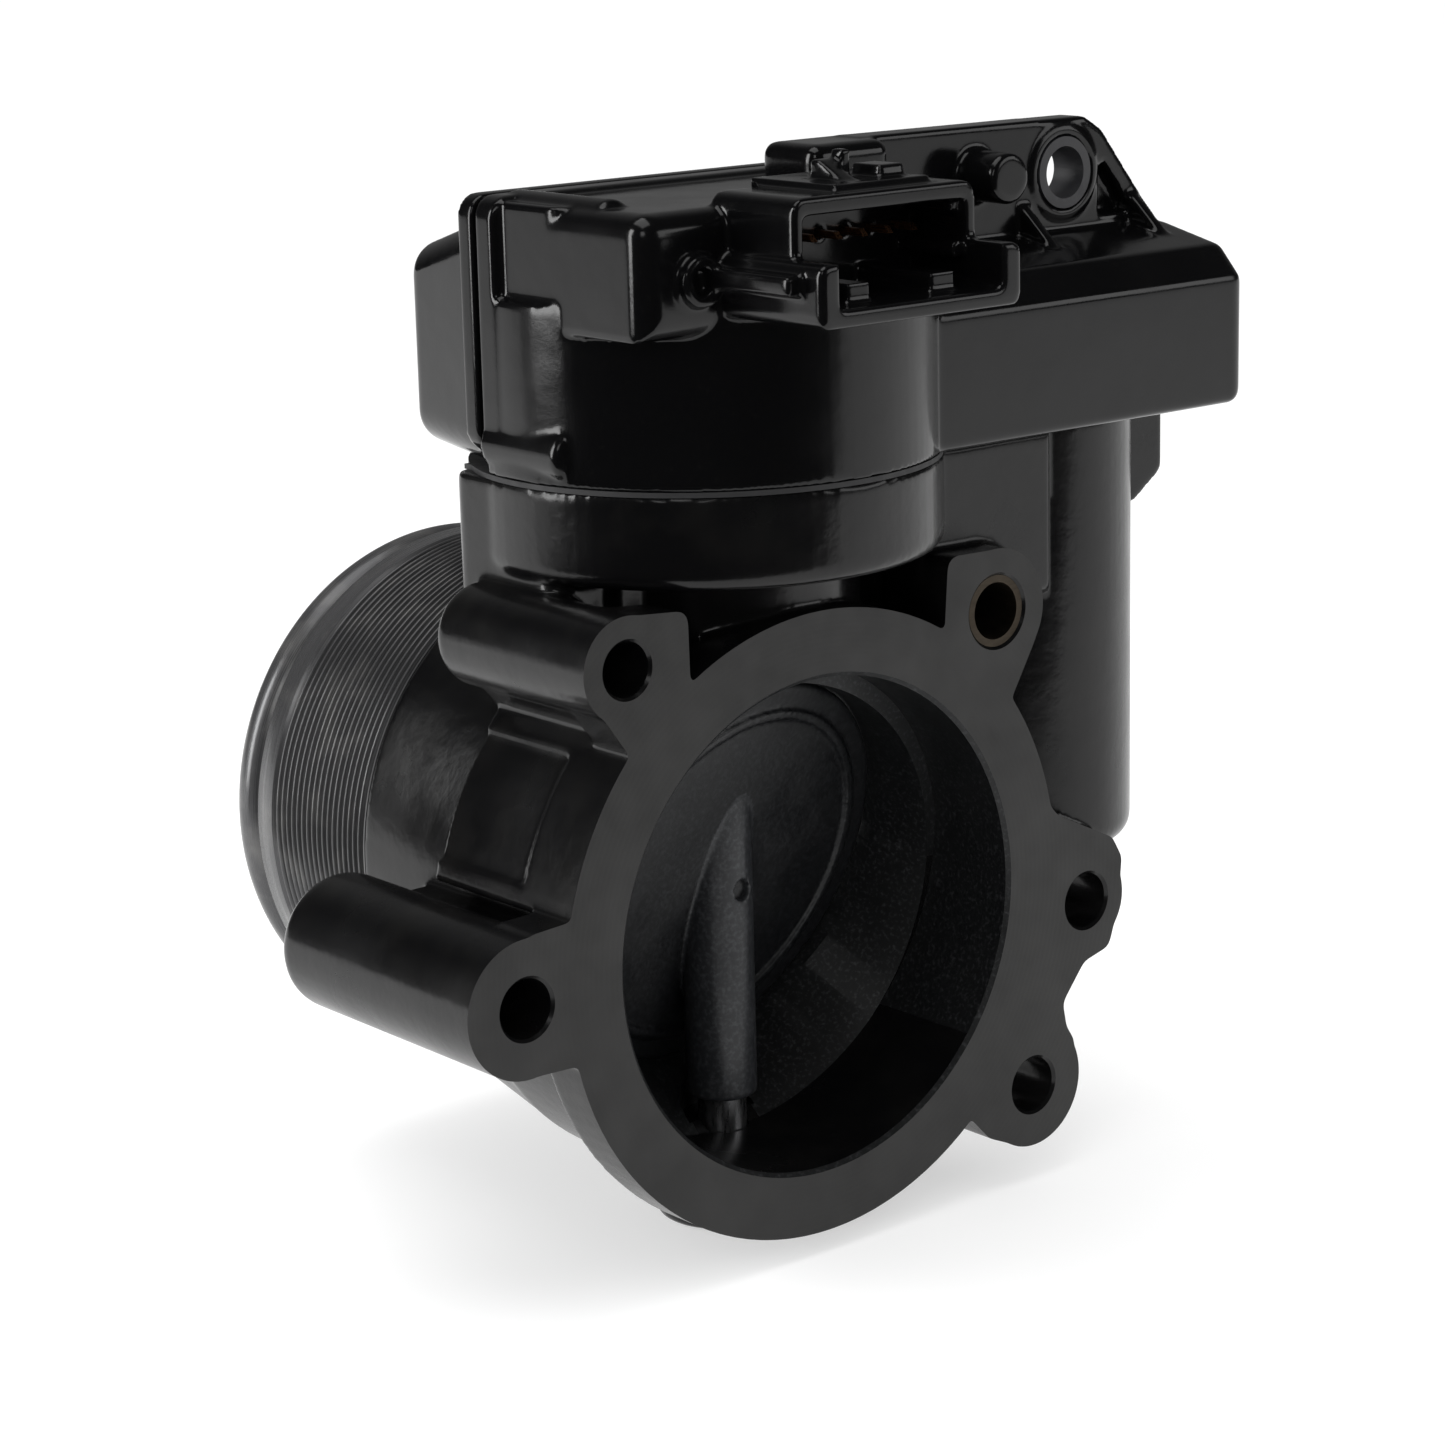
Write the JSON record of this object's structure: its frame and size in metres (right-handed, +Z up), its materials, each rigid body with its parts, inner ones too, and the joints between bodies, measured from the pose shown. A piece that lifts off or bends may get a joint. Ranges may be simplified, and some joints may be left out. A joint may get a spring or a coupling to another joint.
{
  "type": "throttle body",
  "caption": "Electronic throttle body with a flanged inlet, inclined butterfly, ridged hose spigot, geared motor drive in a black case and a shrouded connector.",
  "frame": {"origin": "centre of the bore in the flange's machined face", "axes": "+Y into the bore and out along the hose spigot, +Z up along the throttle shaft to the gear case"},
  "size_m": [0.1223, 0.097, 0.1326],
  "materials": {
    "coated_casting": "gloss black coating over die-cast aluminium, machined faces satin",
    "black_case": "gloss black moulded plastic",
    "gasket_rubber": "matte black rubber",
    "pin_copper": "bare copper alloy, satin",
    "screw_steel": "zinc plated",
    "bearing_steel": "ground bright steel",
    "shaft_steel": "ground steel",
    "plate_grey": "dark grey satin coating",
    "spring_steel": "oiled spring wire",
    "natural_plastic": "natural acetal",
    "dark_plastic": "black glass-filled plastic",
    "gear_brass": "machined brass",
    "sleeve_bronze": "tarnished bronze",
    "motor_steel": "zinc plated drawn steel",
    "magnet_grey": "sintered ferrite",
    "armature_core": "lacquered laminations",
    "board_green": "solder-masked glass laminate"
  },
  "bodies": {
    "body": {"throttle_housing": "coated_casting", "gear_housing": "black_case", "rear_cover": "black_case", "cover_gasket": "gasket_rubber", "base_gasket": "gasket_rubber", "connector_pins": "pin_copper", "cover_screws": "screw_steel", "housing_screws": "screw_steel", "motor_screws": "screw_steel", "lower_needle_bearing": "bearing_steel", "shaft_bore_plug": "shaft_steel", "shaft_seal": "gasket_rubber", "upper_bearing_outer_race": "bearing_steel", "upper_bearing_balls": "bearing_steel", "return_spring": "spring_steel", "spring_guide": "natural_plastic", "intermediate_axle": "shaft_steel", "motor_can": "motor_steel", "motor_rear_bush": "pin_copper", "motor_end_bell": "dark_plastic", "motor_front_bush": "pin_copper", "motor_magnets": "magnet_grey", "motor_wave_spring": "spring_steel", "motor_clamp_plate": "motor_steel", "motor_terminals": "pin_copper", "circuit_board": "board_green", "position_sensor_chip": "dark_plastic", "board_components": "dark_plastic", "dowel_sleeve": "sleeve_bronze", "ear_bush": "dark_plastic"},
    "throttle": {"throttle_plate": "plate_grey", "throttle_shaft": "shaft_steel", "plate_pin": "plate_grey", "upper_bearing_inner_race": "bearing_steel", "shaft_circlip": "screw_steel", "sector_gear": "natural_plastic", "magnet_holder": "dark_plastic", "sensor_magnet": "magnet_grey"},
    "intermediate": {"intermediate_gear": "natural_plastic"},
    "rotor": {"motor_shaft": "shaft_steel", "motor_armature": "armature_core", "motor_pinion": "gear_brass"}
  },
  "joints": [
    {"name": "throttle_turn", "type": "hinge", "parent": "body", "child": "throttle", "pos_m": [0, 0.02, 0], "axis": [0, 0, 1], "range_deg": [-7.5, 74], "stiffness_Nm_per_rad": 0.15},
    {"name": "intermediate_turn", "type": "hinge", "parent": "body", "child": "intermediate", "pos_m": [0.0245, 0.02, 0], "axis": [0, 0, 1], "range_deg": [-300, 40]},
    {"name": "rotor_turn", "type": "hinge", "parent": "body", "child": "rotor", "pos_m": [0.049, 0.02, 0], "axis": [0, 0, 1], "range_deg": [-110, 990]}
  ],
  "couplings": [
    {"joint": "intermediate_turn", "follows": "throttle_turn", "ratio": -3.9},
    {"joint": "rotor_turn", "follows": "throttle_turn", "ratio": 13.162}
  ]
}
